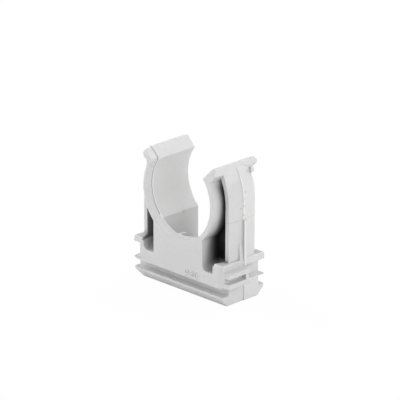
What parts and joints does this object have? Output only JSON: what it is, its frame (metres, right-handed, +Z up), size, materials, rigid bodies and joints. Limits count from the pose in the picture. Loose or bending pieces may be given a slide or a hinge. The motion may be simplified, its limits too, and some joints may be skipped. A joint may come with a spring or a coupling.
{
  "type": "conduit clip",
  "caption": "Snap-in clip with two spring arms for round conduit, on a screw-down base with end links for joining clips side by side.",
  "frame": {"origin": "centre of the screw hole at the underside of the base", "axes": "+Z up out of the mounting surface, +X along the base towards the end with the tongues in front, -Y towards the face with the size mark; the conduit lies along Y"},
  "size_m": [0.0318, 0.0134, 0.0315],
  "materials": {
    "clip_plastic": "light grey moulded plastic, fine satin"
  },
  "bodies": {
    "root": {"clip": "clip_plastic"}
  },
  "joints": []
}
